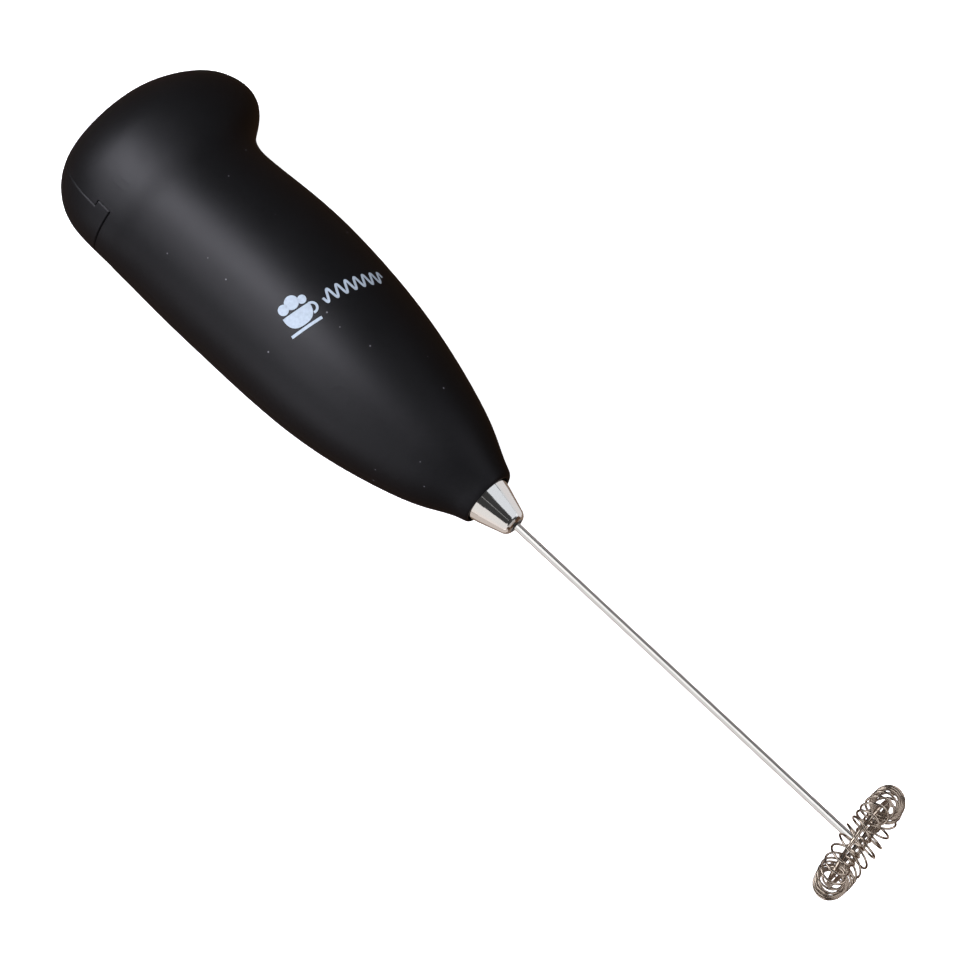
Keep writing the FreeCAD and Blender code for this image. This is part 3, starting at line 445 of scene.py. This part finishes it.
def make_materials():
    """One material for each of the record's slots."""
    recipes = {
        "shell_plastic": (soft_touch_plastic, True),
        "cover_plastic": (soft_touch_plastic, True),
        "button_plastic": (soft_touch_plastic, False),
        "pin_steel": (metal, (0.70, 0.69, 0.67, 1), 0.9, 0.22, FINE, (1, 1, 0.1)),
        "screw_steel": (metal, (0.56, 0.55, 0.53, 1), 0.8, 0.34, FINE),
        "cell_case": (cell_sleeve,),
        "tray_plastic": (moulded_plastic, (0.025, 0.025, 0.027, 1)),
        "contact_plate": (metal, (0.80, 0.79, 0.76, 1), 0.92, 0.2, FINE),
        "spring_steel": (metal, (0.74, 0.73, 0.71, 1), 0.85, 0.22, FINE),
        "switch_strip": (metal, (0.86, 0.68, 0.38, 1), 0.88, 0.25, FINE),
        "red_lead": (moulded_plastic, (0.55, 0.02, 0.015, 1)),
        "black_lead": (moulded_plastic, (0.015, 0.015, 0.016, 1)),
        "white_lead": (moulded_plastic, (0.75, 0.74, 0.72, 1)),
        "motor_steel": (metal, (0.66, 0.66, 0.65, 1), 0.9, 0.3, FINE, (0.1, 1, 1)),
        "end_cap_plastic": (moulded_plastic, (0.72, 0.70, 0.66, 1)),
        "tinned_tag": (metal, (0.78, 0.77, 0.75, 1), 0.8, 0.3, FINE),
        "magnet": (moulded_plastic, (0.07, 0.065, 0.06, 1), 0.6),
        "core_iron": (metal, (0.40, 0.40, 0.41, 1), 0.8, 0.4, FINE, (6, 1, 1)),
        "winding_copper": (metal, (0.80, 0.33, 0.17, 1), 0.7, 0.3, 0.3 * MM,
                           (1, 6, 6), 0.02),
        "commutator_copper": (metal, (0.86, 0.47, 0.30, 1), 0.85, 0.28, FINE),
        "shaft_steel": (metal, (0.72, 0.71, 0.70, 1), 0.92, 0.18, FINE, (0.1, 1, 1)),
        "damper_rubber": (moulded_plastic, (0.03, 0.03, 0.03, 1), 0.7),
        "coupling_brass": (metal, (0.85, 0.66, 0.34, 1), 0.85, 0.25, FINE),
        "polished_chrome": (metal, (0.88, 0.87, 0.86, 1), 0.96, 0.1, 0.15 * MM,
                            (0.1, 1, 1)),
        "bush_plastic": (moulded_plastic, (0.6, 0.6, 0.58, 1)),
        "rod_steel": (metal, (0.80, 0.79, 0.78, 1), 0.94, 0.14, FINE, (0.05, 1, 1)),
        "whisk_wire": (metal, (0.62, 0.55, 0.495, 1), 0.75, 0.2, FINE),
    }
    return {name: make(name, *values) for name, (make, *values) in recipes.items()}


# ---------------------------------------------------------------- pieces


def add_piece(name, vertices, faces, material, body):
    """A smooth mesh piece that rides on a body and takes its finish from a slot."""
    mesh = bpy.data.meshes.new(name)
    mesh.from_pydata(vertices, [], faces)
    mesh.validate()
    mesh.materials.append(material)
    mesh.polygons.foreach_set("use_smooth", [True] * len(mesh.polygons))
    piece = bpy.data.objects.new(name, mesh)
    bpy.context.scene.collection.objects.link(piece)
    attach(piece, body)
    return piece


# The print's place: millimetres along the body, and degrees round an axis on its
# middle plane from the printed flank towards the hook.
MARK_AXIS_Y = 1.4
MARK_ALONG = 62.75
MARK_DEGREES = -9.5
MARK_TILT = math.radians(12.9)
DEGREES_PER_MM = 3.06
INK_TOP = 0.03
INK_ROOT = -0.05
FAR_OUT = 40.0


class Skin:
    """The outer skin of a shell, found from outside towards the rod's axis."""

    def __init__(self, node):
        mesh = nodes[node].data
        corners = [vertex.co.copy() for vertex in mesh.vertices]
        self.tree = BVHTree.FromPolygons(corners, [tuple(face.vertices) for face in mesh.polygons])

    def point(self, right, down, lift):
        """The skin's point at so many millimetres right and down from the mark's origin."""
        along = MARK_ALONG + down * math.cos(MARK_TILT) + right * math.sin(MARK_TILT)
        around = right * math.cos(MARK_TILT) - down * math.sin(MARK_TILT)
        turn = math.radians(MARK_DEGREES + around * DEGREES_PER_MM)
        centre = at(along, MARK_AXIS_Y, 0)
        outside = at(along, MARK_AXIS_Y + FAR_OUT * math.sin(turn), FAR_OUT * math.cos(turn))
        inward = (centre - outside).normalized()
        place, normal, _, _ = self.tree.ray_cast(outside, inward)
        if normal.dot(inward) > 0:
            normal = -normal
        return place + normal * lift * MM


def add_ink(builder, skin, first_edge, second_edge, columns=4):
    """A thin closed patch of ink between two edges, given point for point."""
    layers = []
    for lift in (INK_TOP, INK_ROOT):
        rows = []
        for one, two in zip(first_edge, second_edge):
            row = []
            for column in range(columns + 1):
                part = column / columns
                right = one[0] + (two[0] - one[0]) * part
                down = one[1] + (two[1] - one[1]) * part
                row.append(builder.verts.new(skin.point(right, down, lift)))
            rows.append(row)
        layers.append(rows)
    top, root = layers
    for row in range(len(top) - 1):
        for column in range(columns):
            corners = ((row, column), (row + 1, column), (row + 1, column + 1), (row, column + 1))
            builder.faces.new([top[i][j] for i, j in corners])
            builder.faces.new([root[i][j] for i, j in reversed(corners)])
    rim = ([(row, 0) for row in range(len(top))]
           + [(len(top) - 1, column) for column in range(1, columns + 1)]
           + [(row, columns) for row in range(len(top) - 2, -1, -1)]
           + [(0, column) for column in range(columns - 1, 0, -1)])
    for (i, j), (k, m) in zip(rim, rim[1:] + rim[:1]):
        builder.faces.new((top[i][j], root[i][j], root[k][m], top[k][m]))


def disc_edges(right, down, radius, steps=20):
    """Upper and lower half of a disc's outline."""
    turns = [math.pi * step / steps for step in range(steps + 1)]
    upper = [(right - radius * math.cos(t), down - radius * math.sin(t)) for t in turns]
    lower = [(right - radius * math.cos(t), down + radius * math.sin(t)) for t in turns]
    return upper, lower


def line_edges(points, stroke):
    """Both edges of a line of that stroke along the points."""
    left = []
    right = []
    for index, (x, y) in enumerate(points):
        before = points[max(index - 1, 0)]
        after = points[min(index + 1, len(points) - 1)]
        dx, dy = after[0] - before[0], after[1] - before[1]
        length = math.hypot(dx, dy)
        side = (-dy / length * stroke / 2, dx / length * stroke / 2)
        left.append((x + side[0], y + side[1]))
        right.append((x - side[0], y - side[1]))
    return left, right


CUP_MIDDLE = -4.9
CUP_RIM = -0.7
CUP_HALF_WIDTH = 3.1
CUP_DEPTH = 3.3
CUP_SQUARENESS = 2.6
CUP_STEPS = 28
HANDLE_R = 1.05
HANDLE_INSET = 0.15
HANDLE_DROP = 1.25
HANDLE_SWEEP = 200
HANDLE_STROKE = 0.5
SAUCER_HALF_WIDTH = 3.6
SAUCER_DROP = 0.62
SAUCER_STROKE = 0.6
CURVE_STEPS = 24
# Each puff of froth: millimetres right of the cup's middle, and its radius.
FROTH = ((-1.95, 1.1), (0.15, 1.45), (2.2, 0.9))
FROTH_GAP = 0.35
WAVE_START = 0.9
WAVE_LENGTH = 15.3
WAVE_HEIGHT = 1.25
WAVE_PERIODS = 7.0
WAVE_STROKE = 0.52
WAVE_STEPS = 180
INK_WELD = 0.002 * MM
INK_SLIVER = 0.001 * MM


def make_mark(material):
    """A printed cup of froth and a wavy line, in place of any lettering."""
    skin = Skin("front_shell")
    builder = bmesh.new()
    rim = []
    bowl = []
    for step in range(CUP_STEPS + 1):
        across = -math.cos(math.pi * step / CUP_STEPS)
        rim.append((CUP_MIDDLE + CUP_HALF_WIDTH * across, CUP_RIM))
        depth = CUP_DEPTH * (1 - abs(across) ** CUP_SQUARENESS) ** (1 / CUP_SQUARENESS)
        bowl.append((CUP_MIDDLE + CUP_HALF_WIDTH * across, CUP_RIM + depth))
    add_ink(builder, skin, rim, bowl, 8)
    handle = []
    for step in range(CURVE_STEPS + 1):
        turn = math.radians(HANDLE_SWEEP * (step / CURVE_STEPS - 0.5))
        handle.append((CUP_MIDDLE + CUP_HALF_WIDTH - HANDLE_INSET + HANDLE_R * math.cos(turn),
                       CUP_RIM + HANDLE_DROP + HANDLE_R * math.sin(turn)))
    add_ink(builder, skin, *line_edges(handle, HANDLE_STROKE), 2)
    saucer_down = CUP_RIM + CUP_DEPTH + SAUCER_DROP
    saucer = [(CUP_MIDDLE + SAUCER_HALF_WIDTH * (2 * step / CURVE_STEPS - 1), saucer_down)
              for step in range(CURVE_STEPS + 1)]
    add_ink(builder, skin, *line_edges(saucer, SAUCER_STROKE), 2)
    for right, radius in FROTH:
        down = CUP_RIM - FROTH_GAP - radius
        add_ink(builder, skin, *disc_edges(CUP_MIDDLE + right, down, radius))
    wave = []
    for step in range(WAVE_STEPS + 1):
        part = step / WAVE_STEPS
        wave.append((WAVE_START + WAVE_LENGTH * part,
                     WAVE_HEIGHT * math.sin(2 * math.pi * WAVE_PERIODS * part)))
    add_ink(builder, skin, *line_edges(wave, WAVE_STROKE), 2)
    bmesh.ops.remove_doubles(builder, verts=builder.verts, dist=INK_WELD)
    bmesh.ops.dissolve_degenerate(builder, edges=builder.edges, dist=INK_SLIVER)
    bmesh.ops.recalc_face_normals(builder, faces=builder.faces)
    mesh = bpy.data.meshes.new("printed_mark")
    builder.to_mesh(mesh)
    builder.free()
    mesh.materials.append(material)
    mark = bpy.data.objects.new("printed_mark", mesh)
    bpy.context.scene.collection.objects.link(mark)
    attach(mark, "handle")


INK_PALE = (0.44, 0.52, 0.58, 1)
INK_THIN = (0.36, 0.43, 0.49, 1)


def ink():
    """Pale pad-printed ink, a little thin in places."""
    paint = Paint("pale_ink")
    thin = paint.noise(0.5 * MM, 4.0)
    patch = paint.spread(thin, 0.0, 1.0, 0.35, 0.75)
    paint.set(
        Base_Color=paint.mix(patch, INK_PALE, INK_THIN),
        Roughness=paint.spread(thin, 0.45, 0.6),
        Specular_IOR_Level=DULL_SHEEN,
        Normal=paint.bump(thin, 0.004 * MM, 0.5))
    return paint.material


# The coil's run is the CAD coil's: loops round a ring, bunched on two sides of it and
# parted where they pass the crossbar. Lengths are millimetres.
RING_MIDDLE = box_middle("whisk_core_ring")
RING_TILT = math.radians(8.0)
RING_R = 9.9
COIL_R = 2.95
COIL_WIRE_R = 0.25
COIL_LOOPS = 38
COIL_START = math.radians(-0.63)
BUNCHED_AT = math.radians(24.0)
BUNCHING = 0.19
PARTING = 0.81
PARTING_WIDTH = math.radians(7.0)
STEPS_PER_LOOP = 24
WIRE_END_STEPS = 2
WIRE_SIDES = 10
# How a hand-bent spring differs: its random seed, how many lumps each unevenness has
# round the ring, and how far it goes, in radians or as a share of the loop's radius.
COIL_SEED = 11
SPACING_LUMPS = 17
SIZE_LUMPS = 23
LEAN_LUMPS = 13
UNEVEN_SPACING = 0.08
UNEVEN_SIZE = 0.09
UNEVEN_LEAN = 0.26


def smooth_noise(rng, count):
    """A function from 0 to 1 round a closed run of so many random values."""
    values = [rng.random() for _ in range(count)]

    def read(turns):
        place = turns * count
        step = int(math.floor(place))
        part = place - step
        ease = part * part * (3 - 2 * part)
        return values[step % count] * (1 - ease) + values[(step + 1) % count] * ease
    return read


def tube(points, radius, sides):
    """Vertices and faces of a round wire along open points, with closed ends."""
    vertices = []
    faces = []
    normal = (points[1] - points[0]).orthogonal().normalized()
    for index, point in enumerate(points):
        before = points[max(index - 1, 0)]
        after = points[min(index + 1, len(points) - 1)]
        forward = (after - before).normalized()
        normal = (normal - forward * normal.dot(forward)).normalized()
        across = forward.cross(normal)
        for side in range(sides):
            turn = 2 * math.pi * side / sides
            vertices.append(point + (normal * math.cos(turn) + across * math.sin(turn)) * radius)
    for ring in range(len(points) - 1):
        for side in range(sides):
            here = ring * sides + side
            beside = ring * sides + (side + 1) % sides
            faces.append((here, beside, beside + sides, here + sides))
    faces.append(tuple(reversed(range(sides))))
    faces.append(tuple(range(len(vertices) - sides, len(vertices))))
    return vertices, faces


def make_coil(material):
    """The whisk's wound wire, with the uneven spacing and lean of a hand-bent spring."""
    rng = random.Random(COIL_SEED)
    spacing = smooth_noise(rng, SPACING_LUMPS)
    size = smooth_noise(rng, SIZE_LUMPS)
    lean = smooth_noise(rng, LEAN_LUMPS)
    tilt = Matrix.Rotation(RING_TILT, 3, "Z")
    roll = Matrix.Rotation(-LIE_ROLL, 3, "X")
    points = []
    for step in range(COIL_LOOPS * STEPS_PER_LOOP - WIRE_END_STEPS):
        turns = step / STEPS_PER_LOOP
        share = turns / COIL_LOOPS
        about_loop = 2 * math.pi * turns
        reach = COIL_R * (1 - UNEVEN_SIZE + UNEVEN_SIZE * size(share))
        even = 2 * math.pi * share + COIL_START
        about_ring = even - BUNCHING * math.sin(2 * (even - BUNCHED_AT))
        past_bar = (about_ring + math.pi / 2) % math.pi - math.pi / 2
        nearness = math.exp(-(past_bar / PARTING_WIDTH) ** 2)
        about_ring += PARTING * past_bar * nearness * (1 - math.cos(about_loop)) / 2
        uneven = UNEVEN_SPACING * (spacing(share) - 0.5)
        uneven += UNEVEN_LEAN * (lean(share) - 0.5) * math.sin(about_loop)
        about_ring += uneven * (1 - math.exp(-(past_bar / (2 * PARTING_WIDTH)) ** 2))
        out = RING_R + reach * math.cos(about_loop)
        point = Vector((reach * math.sin(about_loop), out * math.cos(about_ring),
                        out * math.sin(about_ring)))
        points.append(RING_MIDDLE + roll @ (tilt @ point) * MM)
    vertices, faces = tube(points, COIL_WIRE_R * MM, WIRE_SIDES)
    coil = add_piece("wound_whisk_wire", vertices, faces, material, "whisk")
    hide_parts("whisk_coil")
    return coil


# ---------------------------------------------------------------- making it

make_camera()
make_world()
make_floor()
imported = {name: node.material_slots[0].material.name for name, node in nodes.items()}
materials = make_materials()
for name, node in nodes.items():
    for slot in node.material_slots:
        slot.material = materials[imported[name].split(".")[0]]

coil = make_coil(materials["whisk_wire"])
make_mark(ink())
make_lights(coil)
